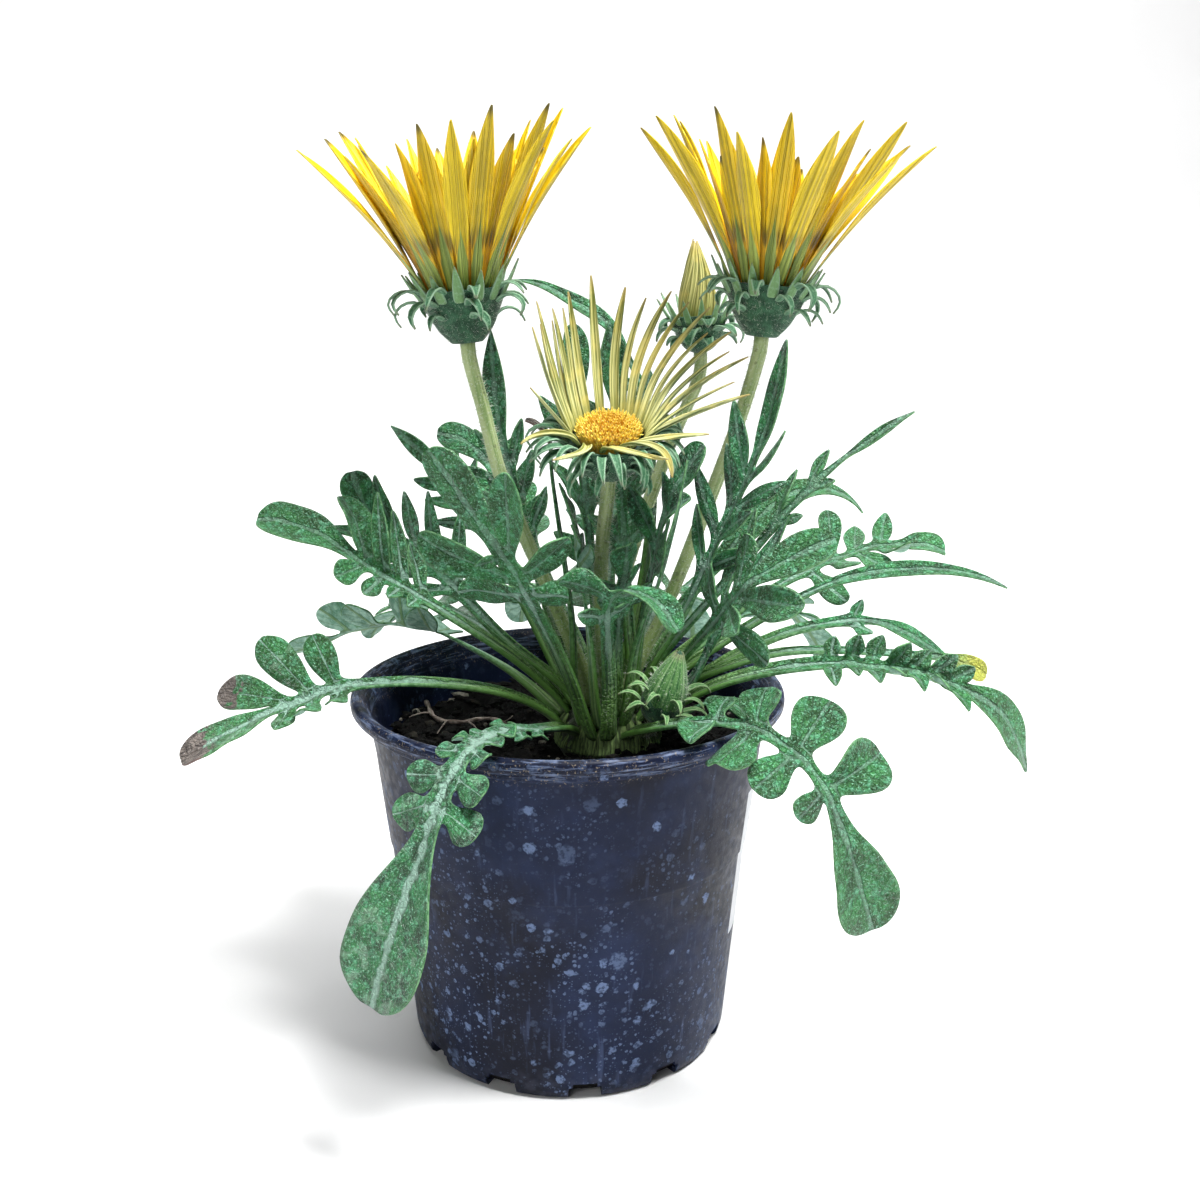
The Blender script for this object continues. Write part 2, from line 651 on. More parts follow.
def turned(profile, steps):
    """A bmesh turned about Z from (radius, height) points."""
    solid = bmesh.new()
    verts = [solid.verts.new((r, 0, z)) for r, z in profile]
    edges = [solid.edges.new(pair) for pair in zip(verts, verts[1:])]
    bmesh.ops.spin(
        solid, geom=verts + edges, axis=UP, cent=(0, 0, 0), angle=tau, steps=steps, use_merge=True
    )
    bmesh.ops.remove_doubles(solid, verts=solid.verts, dist=1e-4)
    bmesh.ops.recalc_face_normals(solid, faces=solid.faces)
    return solid


def mesh_of(solid, name):
    """The bmesh, in millimetres, as a mesh in metres."""
    bmesh.ops.scale(solid, vec=Vector((MM, MM, MM)), verts=solid.verts)
    mesh = bpy.data.meshes.new(name)
    solid.to_mesh(mesh)
    solid.free()
    return mesh


def tube(cage, path, rings, radius_at, sides):
    """A round stalk along a path, with its radius given at each share of its length, and closed ends."""
    whole = length_of(path)
    side = UP.orthogonal()
    made = []
    for k in range(rings + 1):
        share = k / rings
        place, way = at(path, share)
        side = (side - way * side.dot(way)).normalized()
        other = way.cross(side)
        radius = radius_at(share)
        ring = []
        for n in range(sides):
            angle = tau * n / sides
            out = side * cos(angle) + other * sin(angle)
            mark = (share * whole, radius * pi * sin(angle / 2), 0)
            ring.append(cage.point(place + out * radius, mark))
        made.append(ring)
    for first, second in zip(made, made[1:]):
        cage.hoop(second, first)
    cage.faces.append(tuple(made[0]))
    cage.faces.append(tuple(reversed(made[-1])))


def hairs(name, roots, look, length, width, seed, place=Matrix()):
    """Fine hairs, each a sliver that bends as it grows from its root along its direction."""
    chance = random.Random(seed)
    cage = Cage()
    for root, way in roots:
        reach = length * chance.uniform(0.5, 1.2)
        lean = Vector([chance.uniform(-1, 1) for _ in range(3)])
        side = way.cross(lean).normalized() * width / 2
        middle = root + (way + lean * 0.25).normalized() * reach * 0.5
        tip = middle + (way + lean * 0.7).normalized() * reach * 0.5
        corners = (root - side, root + side, middle + side * 0.7, middle - side * 0.7, tip)
        a, b, c, d, e = map(cage.point, corners)
        cage.faces += [(a, b, c, d), (d, c, e)]
    return dress(name, cage.mesh(name), [look], place=place)


# Pot


def pot(look):
    """A turned pot with notches cut in its foot. Lip points are how far in from the rim and below its top."""
    lip = (
        (2.2, 0.1), (1.4, 0), (0.7, 0.25), (0.2, 0.9), (0, 1.9), (0.1, 3.0), (0.6, 3.7), (2.0, 4.0),
        (2.5, 4.4), (2.6, 5.8), (3.2, 6.3), (5.0, 6.6),
    )
    wall = (
        (53.6, 86.0), (52.2, 73.0), (50.75, 60.2), (50.6, 59.6), (50.2, 59.1), (48.6, 42.0),
        (46.9, 24.0), (45.3, 6.0), (45.0, 3.0), (44.3, 0.9), (FOOT_RADIUS, 0), (0, 0),
    )
    outer = (*((RIM_RADIUS - inset, POT_HEIGHT - drop) for inset, drop in lip), *wall)
    inner = ((0, FLOOR), (43.5, FLOOR), (53.0, 94.0), (RIM_RADIUS - 3.4, POT_HEIGHT - 1.0))
    turned_pot = mesh_of(turned(inner + outer, POT_STEPS), "pot")
    made = dress("pot", turned_pot, [look], ["pot"])
    cutters = bpy.data.collections.new("cutters")
    for k in range(NOTCHES):
        solid = bmesh.new()
        bmesh.ops.create_cube(solid, size=1)
        bmesh.ops.scale(solid, vec=Vector((NOTCH_DEPTH, NOTCH_WIDTH, NOTCH_HEIGHT + 2)), verts=solid.verts)
        along = []
        for edge in solid.edges:
            a, b = (vert.co for vert in edge.verts)
            if a.z > 0 and abs(a.z - b.z) < 0.1 and abs(a.y - b.y) < 0.1:
                along.append(edge)
        bmesh.ops.bevel(solid, geom=along, offset=1.2, segments=4, affect="EDGES")
        cutter = bpy.data.objects.new(f"notch_cutter_{k:02d}", mesh_of(solid, "notch_cutter"))
        angle = NOTCH_TURN + k * tau / NOTCHES
        cutter.location = polar(NOTCH_RADIUS, angle, NOTCH_HEIGHT / 2 - 1) * MM
        cutter.rotation_euler.z = angle
        cutters.objects.link(cutter)
    cut = made.modifiers.new("Notches", "BOOLEAN")
    cut.operand_type = "COLLECTION"
    cut.collection = cutters
    cut.operation = "DIFFERENCE"
    bpy.context.scene.collection.children.link(cutters)
    graph = bpy.context.evaluated_depsgraph_get()
    carved = bpy.data.meshes.new_from_object(made.evaluated_get(graph))
    made.modifiers.clear()
    made.data = carved
    for cutter in list(cutters.objects):
        bpy.data.objects.remove(cutter)
    bpy.data.collections.remove(cutters)
    carved.set_sharp_from_angle(angle=radians(40))


# Soil, crown and dry root


def soil_height(x, y):
    """The lumpy top of the soil, a little higher round the crown."""
    lumps = 0.9 * sin(x * 0.21 + 1.3) * cos(y * 0.17 + 0.4)
    lumps += 0.7 * sin(x * 0.43 - y * 0.37) + 0.4 * cos(x * 0.71 + y * 0.55)
    return SOIL_TOP - 1.2 + lumps


def soil(look, crumbs):
    """A crumbly top with its sides, and loose bits strewn over it."""
    rings, steps, edge_drop = 46, 120, 3.0
    cage = Cage()
    made = []
    for ring in range(1, rings + 1):
        radius = SOIL_RADIUS * ring / rings
        row = []
        for k in range(steps):
            spot = polar(radius, tau * k / steps)
            rough = noise.fractal(spot * 0.35, 1.0, 2.0, 4) * 1.1 + noise.noise(spot * 1.1) * 0.5
            sink = edge_drop * max(0, (radius / SOIL_RADIUS - 0.93) / 0.07)
            spot.z = soil_height(spot.x, spot.y) + rough - sink
            row.append(cage.point(spot))
        made.append(row)
    heart = cage.point(Vector((0, 0, soil_height(0, 0))))
    cage.faces += [(heart, made[0][k], made[0][(k + 1) % steps]) for k in range(steps)]
    low = FLOOR + GAP
    made.append([cage.point(polar(FOOT_RADIUS - 0.6, tau * k / steps, low)) for k in range(steps)])
    for first, second in zip(made, made[1:]):
        cage.hoop(second, first)
    cage.faces.append(tuple(reversed(made[-1])))
    dress("soil", cage.mesh("soil"), [look], ["soil"])
    chance = random.Random("crumbs")
    vary = chance.uniform
    cage = Cage()
    for _ in range(CRUMBS):
        radius = (SOIL_RADIUS - 2) * sqrt(chance.random())
        spot = polar(radius, vary(0, tau))
        size = vary(0.35, 0.9) if chance.random() < 0.8 else vary(0.9, 1.7)
        lot = chance.random()
        spot.z = soil_height(spot.x, spot.y) + size * 0.5
        turn = Matrix.Rotation(vary(0, tau), 3, "Z") @ Matrix.Rotation(vary(-0.6, 0.6), 3, "X")
        stretch = Vector((vary(0.8, 2.4), vary(0.7, 1.2), vary(0.4, 0.9))) * size
        crumb(cage, spot, turn, stretch, lot, chance)
    dress("soil_crumbs", cage.mesh("soil_crumbs"), [crumbs], smooth=False)


def crumb(cage, spot, turn, stretch, lot, chance):
    """A rough lump of two rings of four points and two tips."""
    state = (lot, 0, 0, 0)

    def corner(x, y, z):
        rough = Vector((x, y, z)) * chance.uniform(0.75, 1.2)
        return cage.point(spot + turn @ (rough * stretch), (0, 0, 0), state)

    low = [corner(cos(a), sin(a), -0.45) for a in (0, 1.6, 3.1, 4.7)]
    high = [corner(0.8 * cos(a), 0.8 * sin(a), 0.45) for a in (0.5, 2.0, 3.6, 5.2)]
    bottom, top = corner(0, 0, -0.9), corner(0, 0, 0.9)
    cage.hoop(high, low)
    for k in range(4):
        n = (k + 1) % 4
        cage.faces += [(bottom, low[n], low[k]), (top, high[k], high[n])]


def crown(skin, scale_looks):
    """A low dome wrapped in old leaf bases."""
    profile = [(CROWN_RADIUS, -8.7), (CROWN_RADIUS, -1.5)]
    for tilt in range(0, 90, 10):
        slope = radians(tilt)
        profile.append((CROWN_RADIUS * cos(slope), CROWN_RISE * sin(slope)))
    solid = turned([(0, -8.7), *profile, (0, CROWN_RISE)], 60)
    for vert in solid.verts:
        angle = atan2(vert.co.y, vert.co.x)
        ridge = 0.35 * cos(angle * 17 + vert.co.z * 0.3) + 0.4 * noise.noise(vert.co * 0.5)
        if vert.co.z > 0:
            vert.co -= vert.co.normalized() * max(0, 0.5 - ridge)
    place = Matrix.Translation(CROWN_CENTRE * MM)
    dress("crown", mesh_of(solid, "crown"), [skin], ["crown"], place)
    chance = random.Random("leaf bases")
    cage = Cage()
    for k in range(OLD_LEAF_BASES):
        angle = tau * k / OLD_LEAF_BASES + chance.uniform(-0.1, 0.1)
        out, left = spoke(angle)
        tall = chance.uniform(4, 10)
        half = chance.uniform(1.8, 3.1)
        rows = []
        for share in (0, 0.35, 0.7, 1):
            radius = CROWN_RADIUS - 0.2 - 3.6 * share**2
            centre = CROWN_CENTRE + out * radius + UP * (tall * share - 0.8)
            width = half * (1 - 0.8 * share**2)
            row = []
            for u in (-1, 0, 1):
                spot = centre + left * -u * width + out * 0.3 * (1 - u * u)
                row.append(cage.point(spot, (share * tall, u * width, abs(u))))
            rows.append(row)
        cage.strip(rows)
    sheet("old_leaf_bases", cage, scale_looks, (), 0.4)


def dry_root(look):
    """A kinked dead root lying in a bow on the soil, with thin side roots."""
    places = ((-42, 22), (-38, 10), (-31, 4), (-22, 4), (-15, -1))
    lift = 2.0
    points = [Vector((x, y, soil_height(x, y) + lift)) for x, y in places]
    cage = Cage()
    path = smooth_path(points, points[1] - points[0])
    tube(cage, path, 44, lambda share: 0.72 + 0.12 * sin(share * 40) - 0.25 * share, 8)
    chance = random.Random("side roots")
    for start in (0.2, 0.45, 0.62, 0.8):
        root, way = at(path, start)
        heading = Vector((way.y, -way.x, 0)) * chance.choice((-1, 1))
        ends = [root + heading * reach + way * reach * 0.4 for reach in (0, 3, 7)]
        for end in ends[1:]:
            end.z = soil_height(end.x, end.y) + 0.9
        tube(cage, smooth_path(ends, heading), 8, lambda share: 0.34 - 0.2 * share, 5)
    dress("dry_root", cage.mesh("dry_root"), [look], ["dry_root"])


# Leaves


def root_of(azimuth, ring):
    """Where a stalk leaves the crown, a small gap off its dome, and the direction out of the dome there."""
    angle = radians(azimuth)
    share = ROOT_RINGS[ring] / CROWN_RADIUS
    height = CROWN_RISE * sqrt(1 - share**2)
    normal = polar(share / CROWN_RADIUS, angle, height / CROWN_RISE**2).normalized()
    return CROWN_CENTRE + polar(ROOT_RINGS[ring], angle, height) + normal * 2 * GAP, normal


# Each row gives the root's azimuth and ring, the points that the midrib passes, where along it the lobes
# start and the end lobe starts, half widths of the rib and of the end lobe, and the roll of the blade about
# its midrib. Then, for lobes set by rule: pairs, length, width, forward sweep and lift.
LEAVES = {
    "front_left": (226, "low", (
        (-6, -30, 99), (-17, -46, 104), (-25, -62, 105), (-31, -70, 93), (-36, -73, 79), (-46, -78, 49)
    ), 0.2, 0.64, 2.9, 11.5, 0, ()),
    "front_right": (291, "low", (
        (20, -28, 98), (33, -41, 105), (47, -54, 107), (58, -62, 100), (66, -65, 83), (73, -64, 60)
    ), 0.3, 0.73, 1.6, 8.2, 30, ()),
    "left_low": (200, "low", (
        (-10, -12, 101), (-31, -16, 107), (-49, -20, 109), (-66, -26, 108), (-84, -32, 101),
        (-98, -36, 94)
    ), 0.57, 0.76, 2.2, 6.8, -15, ()),
    "left_back": (163, "low", (
        (-14, 8, 101), (-28, 14, 108), (-40, 19, 112), (-52, 23, 113), (-66, 26, 109), (-82, 26, 103)
    ), 0.45, 0.84, 1.8, 6, 25, (4, 12, 9.5, 15, 35)),
    "far_left": (178, "mid", (
        (-13, -4, 109), (-34, -7, 125), (-52, -9, 137), (-66, -9, 147), (-81, -9, 151)
    ), 0.58, 0.74, 1.8, 6, -35, (2, 10, 6.5, 20, -25)),
    "upper_left": (168, "top", (
        (-16, 3, 112), (-32, 6, 129), (-46, 8, 141), (-54, 9, 148), (-59, 10, 160)
    ), 0.5, 0.82, 1.6, 4.5, -60, (4, 18, 4.6, 48, 20)),
    "thin_upper_left": (148, "mid", (
        (-8, 18, 112), (-22, 26, 136), (-36, 29, 156), (-50, 29, 170)
    ), 0.6, 0.8, 1.3, 2.4, -60, (3, 12, 3.6, 45, 10)),
    "centre_left": (248, "low", (
        (0, -20, 110), (-8, -28, 130), (-15, -34, 145), (-24, -37, 159), (-33, -38, 173)
    ), 0.5, 0.68, 1.9, 5.4, 40, ()),
    "centre_front": (269, "low", (
        (11, -23, 110), (10, -31, 128), (13, -37, 138), (20, -41, 137), (27, -45, 130)
    ), 0.55, 0.72, 1.6, 4.2, 0, ()),
    "right_centre": (316, "mid", (
        (28, -9.5, 107), (36, -20, 122), (44, -31, 136), (54, -34, 144), (66, -35, 150)
    ), 0.52, 0.7, 1.6, 5.2, 55, ()),
    "right_tall": (345, "top", (
        (22, -9, 108), (31, -13, 125), (40, -17, 149), (48, -18, 168), (56, -17, 197)
    ), 0.4, 0.72, 1.4, 3.3, 55, (4, 19, 5, 52, 16)),
    "right_long_thin": (13, "top", (
        (27, -3, 112), (38, -6, 126), (50, -9, 142), (62, -13, 158), (74, -14, 169), (89, -14, 179)
    ), 0.28, 0.8, 1.2, 1.4, 50, ()),
    "right_strap": (338, "mid", (
        (32, -11, 103), (39, -12, 118), (48, -13, 134), (57.5, -14, 151.5)
    ), 0.3, 0.34, 1.6, 2.9, 50, ()),
    "right_low_small": (329, "low", (
        (31, -14, 97), (38, -16, 101), (44, -19, 101), (49, -22, 97)
    ), 0.5, 0.5, 1.5, 3.5, 0, ()),
    "right_long": (350, "low", (
        (33, -10, 101), (51, -16, 110), (74, -21, 114), (93, -23, 111), (106, -24, 106), (115, -24, 99),
        (122, -23, 84)
    ), 0.42, 0.74, 2.1, 5.4, 40, (7, 6.5, 5.1, 25, 45)),
    "right_yellow_tip": (2, "mid", (
        (45, -6, 109), (68, -8, 115), (88, -8, 115.5), (103, -8, 111), (115, -8, 106.5)
    ), 0.6, 0.86, 1.1, 3.2, 40, ()),
    "right_arch_mid": (14, "low", (
        (43, 2, 107), (70, 4, 118), (88, 6, 117), (102, 7, 110), (111, 7, 102)
    ), 0.6, 0.7, 1.8, 3.4, 25, (1, 6, 4, 30, 30)),
    "right_arch_thin": (23, "mid", (
        (43, 6, 111), (66, 10, 124), (87, 11, 131), (107, 12, 131), (125, 12, 126)
    ), 0.5, 0.5, 1.4, 2.8, 35, ()),
    "back_lobed_right": (45, "mid", (
        (36, 14, 109), (64, 24, 125), (84, 29, 132), (98, 30, 135), (112, 30, 133)
    ), 0.58, 0.86, 1.5, 5, 20, (4, 13, 6.5, 20, 15)),
    "back_strap_right": (64, "mid", (
        (28, 20, 112), (46, 32, 130), (62, 40, 145), (77, 45, 150), (90, 47, 141)
    ), 0.4, 0.4, 1.8, 4.6, 35, ()),
    "back_arching": (72, "top", (
        (20, 18, 115), (25, 33, 140), (25, 46, 167), (18, 53, 189), (5, 54, 203), (-15, 50, 210)
    ), 0.6, 0.7, 1.4, 2.6, 0, (1, 8, 4, 50, 10)),
    "behind_left_of_middle": (104, "top", (
        (7.5, 10, 125), (4.5, 15.5, 158), (1.5, 18, 199)
    ), 0.3, 0.78, 1.4, 4, 0, (3, 14, 6, 50, 10)),
    "behind_right_of_middle": (38, "top", (
        (17, 6, 118), (15, 15, 158), (12, 19, 200)
    ), 0.36, 0.78, 1.4, 4, 0, (3, 13, 6, 50, 10)),
    "beside_left_stem": (196, "top", (
        (-3, 1, 115), (-12, 5, 148), (-18, 7, 172), (-20, 7, 198)
    ), 0.45, 0.72, 1.4, 3, -60, (3, 12, 4, 60, 10)),
    "withered_tip": (224, "mid", (
        (1, -10, 124), (-3, -9, 153), (-5, -9, 170), (-10, -10, 177)
    ), 0.5, 0.8, 1.3, 3, 0, ()),
    "behind_left": (136, "top", (
        (-8, 12, 131), (-19, 17, 156), (-27, 19, 166), (-36, 20, 169)
    ), 0.55, 0.8, 1.4, 4, -50, (3, 12, 5.5, 40, 15)),
    "right_under_middle": (318, "top", (
        (20, -12, 120), (23, -15, 142), (27, -17, 158), (35, -19, 171)
    ), 0.5, 0.78, 1.5, 4.4, 45, (3, 14, 6.5, 45, 15)),
    "strap_under_middle": (293, "mid", (
        (18, -18, 118), (24, -27, 140), (30, -32, 169)
    ), 0.5, 0.5, 1.4, 2.8, 45, ()),
    "pale_under_middle": (252, "mid", (
        (5, -18, 125), (2, -20, 145), (-2, -21, 162)
    ), 0.55, 0.8, 1.4, 3.4, -30, (3, 11, 4.8, 42, 15)),
    "upright_in_front": (282, "top", (
        (13, -14.5, 118), (14, -20, 134), (15, -26, 147)
    ), 0.6, 0.78, 1.4, 4, 20, (2, 8, 4.6, 35, 10)),
    "back_right_low": (42, "low", (
        (40, 26, 106), (58, 40, 112), (74, 54, 104), (84, 62, 88)
    ), 0.45, 0.74, 1.7, 6, 0, (3, 13, 8, 30, 10)),
    "back_right": (72, "low", (
        (24, 34, 108), (33, 58, 114), (40, 78, 105), (43, 90, 88)
    ), 0.45, 0.76, 1.6, 6, 0, (3, 13, 7, 35, 10)),
    "back_left": (104, "low", (
        (2, 32, 107), (-6, 56, 114), (-12, 76, 109), (-16, 90, 95)
    ), 0.45, 0.76, 1.7, 6, 0, (3, 14, 8, 35, 10)),
    "back_left_low": (132, "low", (
        (-16, 22, 105), (-36, 42, 112), (-52, 58, 108), (-64, 68, 96)
    ), 0.5, 0.76, 1.7, 6, 0, (3, 13, 8, 35, 10)),
    "back_upright": (90, "mid", (
        (12, 26, 122), (14, 46, 142), (16, 64, 150), (18, 80, 146)
    ), 0.5, 0.76, 1.5, 5, 0, (3, 14, 7, 40, 15)),
    "back_upright_left": (120, "mid", (
        (-4, 22, 122), (-16, 40, 142), (-28, 56, 152), (-38, 68, 148)
    ), 0.5, 0.76, 1.5, 5, 0, (3, 14, 7, 40, 15)),
}

# Lobes set one by one: where on the midrib, then the left and the right one's length, width, sweep, lift.
LOBES = {
    "front_left": (
        (0.22, (3, 5, 20, 15), (3, 5, 20, 5)),
        (0.28, (3.5, 5, 20, 10), (3, 5, 20, 10)),
        (0.34, (4, 5.5, 25, 20), (3.5, 5, 20, 5)),
        (0.4, (4, 6, 25, 15), (4, 6, 20, 5)),
        (0.46, (4.5, 6, 30, 10), (4.5, 6, 25, 10)),
        (0.525, (9, 8, 15, 5), (8.5, 7.5, 15, 15)),
        (0.59, (10, 8.5, 15, -5), (10.5, 8.5, 28, 5)),
    ),
    "front_right": (
        (0.33, (7, 8, -5, 5), (10, 9.5, 5, 25)),
        (0.44, (10, 11, -15, 20), (13, 12, -5, 18)),
        (0.55, (14, 13.5, -10, 15), (12, 10, -5, -10)),
        (0.655, (16, 12.5, -2, 0), (8, 7, 20, -10)),
    ),
    "far_left": (
        (0.53, (5, 4.5, 20, 10), (14, 4.4, 36, 12)),
        (0.585, (5, 4.5, 20, 10), (19, 4.6, 36, 36)),
        (0.64, (7, 5.5, 15, 5), (21, 4.6, 36, 58)),
        (0.7, (8, 7, 30, -10), (19, 8.5, 50, 10)),
    ),
    "right_long_thin": (
        (0.47, (13, 4.2, 58, 5), (12, 4, 50, 5)),
        (0.6, (13, 4, 62, 0), (6, 3, 60, 0)),
        (0.72, (9, 3.4, 65, 0), (5, 2.8, 60, 0)),
    ),
    "left_low": (
        (0.6, (8, 6, 25, 25), (14, 8, 15, 65)),
        (0.665, (9, 7, 25, 20), (18, 9, 25, 65)),
        (0.73, (8, 6, 35, 10), (19, 9, 48, 20)),
    ),
    "centre_left": (
        (0.52, (9, 7, -25, 15), (17, 8, 10, 0)),
        (0.58, (16, 8, 22, 20), (25, 9.5, 50, 0)),
        (0.655, (25, 9, 58, 0), (6, 3.6, 20, -50)),
    ),
    "centre_front": (
        (0.58, (6, 5, 20, 20), (7, 5, 20, 20)),
        (0.67, (6, 5, 30, 10), (13, 8, 5, 35)),
    ),
    "right_centre": (
        (0.54, (13, 7, 15, 10), (17, 8, 15, -12)),
        (0.6, (12, 7, 35, -24), (13, 7, 25, 24)),
        (0.665, (14, 6.5, 50, 14), (21, 9, 50, -6)),
    ),
}

# Leaves whose end lobe is drawn out to a point.
POINTED = (
    "right_tall", "right_long_thin", "right_strap", "right_long", "right_arch_mid", "right_arch_thin",
    "back_strap_right", "back_arching", "thin_upper_left", "beside_left_stem", "strap_under_middle",
    "behind_right_of_middle", "pale_under_middle",
)

# Leaves turned over, leaves that are green on both faces, and one that is pale on both.
TURNED = ("centre_left", "upright_in_front", "strap_under_middle")
BARE = ("centre_front", "front_right", "right_centre", "right_under_middle")
PALE = ("left_back",)

# The share of its length from which a lobe is dead or yellow.
WILTED = {
    ("left_low", "end"): 0.66,
    ("left_low", "right 2"): 0.74,
    ("withered_tip", "end"): 0.2,
    ("left_back", "end"): 0.9,
}
YELLOWED = {"right_yellow_tip": 0.15}

# Leaves whose midrib is drawn twice as wide, and how far the right lobes of some are folded up.
WIDE_RIBBED = ("front_left", "left_low")
FOLDED = {"far_left": 1.1, "right_long": 0.8, "left_back": 0.5}


def lobe_pairs(row, chance, name):
    """Where each pair of lobes stands and their sizes, listed or, for most leaves, set by rule."""
    if name in LOBES:
        return LOBES[name]
    first, last, rule = row[3], row[4], row[8]
    if not rule:
        return ()
    count, length, width, sweep, lift = rule
    pitch = (last - first) / count

    def one(k):
        return (
            length * chance.uniform(0.8, 1.15),
            width * chance.uniform(0.85, 1.1),
            sweep + (k - (count - 1) / 2) * LOBE_FAN + chance.uniform(-3, 3),
            lift + (LOBE_STAGGER if k % 2 else -LOBE_STAGGER) + chance.uniform(-5, 5),
        )

    return [(first + pitch * (k + 0.45), one(k), one(k)) for k in range(count)]


def leaf(name, row, looks):
    """A channelled stalk and rib with rounded lobes and an end lobe, as one sheet whose stalk is thicker."""
    azimuth, ring, via, first, last, rib_half, end_half, roll, _ = row
    chance = random.Random(name)
    wave = random.Random(name + " wave")
    lot = wave.random()
    root, normal = root_of(azimuth, ring)
    points = [root, *(Vector(point) for point in via)]
    path = smooth_path(points, normal)
    whole = length_of(path)
    heading = (points[-1] - root).xy.normalized()
    side = Vector((-heading.y, heading.x, 0))
    cage = Cage()

    def frame_at(fraction):
        place, way = at(path, fraction)
        across = (side - way * side.dot(way)).normalized()
        turn = Matrix.Rotation(radians(roll) * min(1, fraction / first), 3, way)
        return place, way, turn @ across, turn @ way.cross(across)

    def state_at(part, share, fraction):
        petiole = max(0.0, 1 - fraction / (first * 1.15))
        start = WILTED.get((name, part))
        wilt = 0 if start is None else max(0, min(1, (share - start) / (1 - start) * 2))
        yellow = 0
        if name in YELLOWED and part == "end":
            yellow = max(0, min(1, (share - YELLOWED[name]) * 2))
        return (petiole, wilt, yellow, lot)

    def swell(spot, petiole=0.0):
        """How far the blade heaves here."""
        heave = noise.noise(spot * 0.09 + Vector((lot * 50, 0, 0))) * 1.7 + noise.noise(spot * 0.23) * 0.7
        return heave * max(0.0, 1 - petiole * 3)

    def rib_row(fraction, half_width, part="rib", share=0.0):
        place, _, across, up = frame_at(fraction)
        state = state_at(part, share, fraction)
        petiole = state[0]
        channel = 0.5 * petiole + 0.36 * (1 - petiole)
        row_made = []
        for u in (-1, -0.55, 0, 0.55, 1):
            ripple = wave.uniform(-0.1, 0.1) * (1 - petiole) if abs(u) > 0.9 else 0
            tucked = 0.3 * (1 - petiole) * max(0, abs(u) - 0.6)
            lift = (channel * u * u - tucked + ripple) * half_width
            breadth = half_width * (1 + (wave.uniform(-0.06, 0.06) if abs(u) > 0.9 and petiole < 0.2 else 0))
            mark = (fraction * whole, u * half_width * (0.5 if name in WIDE_RIBBED else 1), abs(u))
            spot = place - across * u * breadth + up * lift
            row_made.append(cage.point(spot + up * swell(spot, petiole), mark, state, min(1, petiole * 1.4)))
        return row_made

    def lobe(fraction, hand, sizes, base, part):
        place, way, across, up = frame_at(fraction)
        length, width, sweep, lift = sizes
        swept, lifted = radians(sweep), radians(lift)
        out = across * hand * cos(lifted) + up * sin(lifted)
        ahead = out * cos(swept) + way * sin(swept)
        forward = way * cos(swept) - out * sin(swept)
        face = up * cos(lifted) - across * hand * sin(lifted)
        place += across * hand * rib_half
        droop = wave.uniform(-0.06, 0.16)
        twist = wave.uniform(-0.35, 0.35)
        cup = wave.choice((-0.5, -0.38, 0.42, 0.6)) * wave.uniform(0.7, 1.2)
        if hand < 0:
            cup = FOLDED.get(name, cup)
        before = base if hand > 0 else base[::-1]
        for share, breadth in BLUNT_OUTLINE if width >= BLUNT_LOBE else POINTED_OUTLINE:
            centre = place + ahead * length * share - face * length * droop * share**2
            half = width / 2 * breadth
            state = state_at(part, share, fraction)
            row_made = []
            for s in (-1, 0, 1):
                lift_here = cup * abs(s) + s * twist * share + (wave.uniform(-0.14, 0.14) if s else 0)
                off = s * half * (WIDE_LOBE_RIB_THINNING if name in WIDE_RIBBED else LOBE_RIB_THINNING)
                mark = (fraction * whole + length * share, off, max(abs(s), 1 if share > 0.98 else 0))
                spot = centre + forward * s * half * wave.uniform(0.92, 1.08) + face * lift_here * half
                row_made.append(cage.point(spot + face * swell(spot), mark, state, 0.0))
            now = row_made if hand > 0 else row_made[::-1]
            cage.join(before, now)
            before = now

    root_half = PETIOLE_HALF_WIDTH[ring]
    rows = [rib_row(0, root_half)]
    for share in (0.12, 0.32, 0.56, 0.8):
        rows.append(rib_row(first * share, root_half + (rib_half - root_half) * share))
    for k, (middle, left, right) in enumerate(lobe_pairs(row, chance, name)):
        half_base = max(1.6, 0.24 * min(left[1], right[1]) + 0.5) / whole
        trio = [rib_row(middle + shift * half_base, rib_half) for shift in (-1, 0, 1)]
        for column in (0, -1):
            along, off, _ = cage.marks[trio[1][column]]
            cage.marks[trio[1][column]] = (along, off * 0.25, 0.2)
        lobe(middle, 1, left, [r[0] for r in trio], f"left {k}")
        lobe(middle, -1, right, [r[-1] for r in trio], f"right {k}")
        rows += trio
    rest = 1 - last
    for share, breadth in POINTED_END if name in POINTED else BLUNT_END:
        rows.append(rib_row(last + rest * share, end_half * breadth, "end", share))
    cage.strip(rows)
    face, under, margin, ribbed = looks
    if name in WIDE_RIBBED:
        face = ribbed
    if name in TURNED:
        face, under = under, face
    if name in BARE:
        under = face
    if name in PALE:
        face = under
    thin_share = BLADE_THICKNESS / PETIOLE_THICKNESS
    node = f"leaf_{name}"
    sheet(node, cage, (face, under, margin), [node], PETIOLE_THICKNESS, thin_share)


# Blooms, each made about its own axis with the stem's end at its origin


def bloom_place(origin, tip):
    """Moves a bloom's axis onto the line from origin towards tip."""
    turn = UP.rotation_difference(Vector(tip) - Vector(origin)).to_matrix().to_4x4()
    return Matrix.Translation(Vector(origin) * MM) @ turn


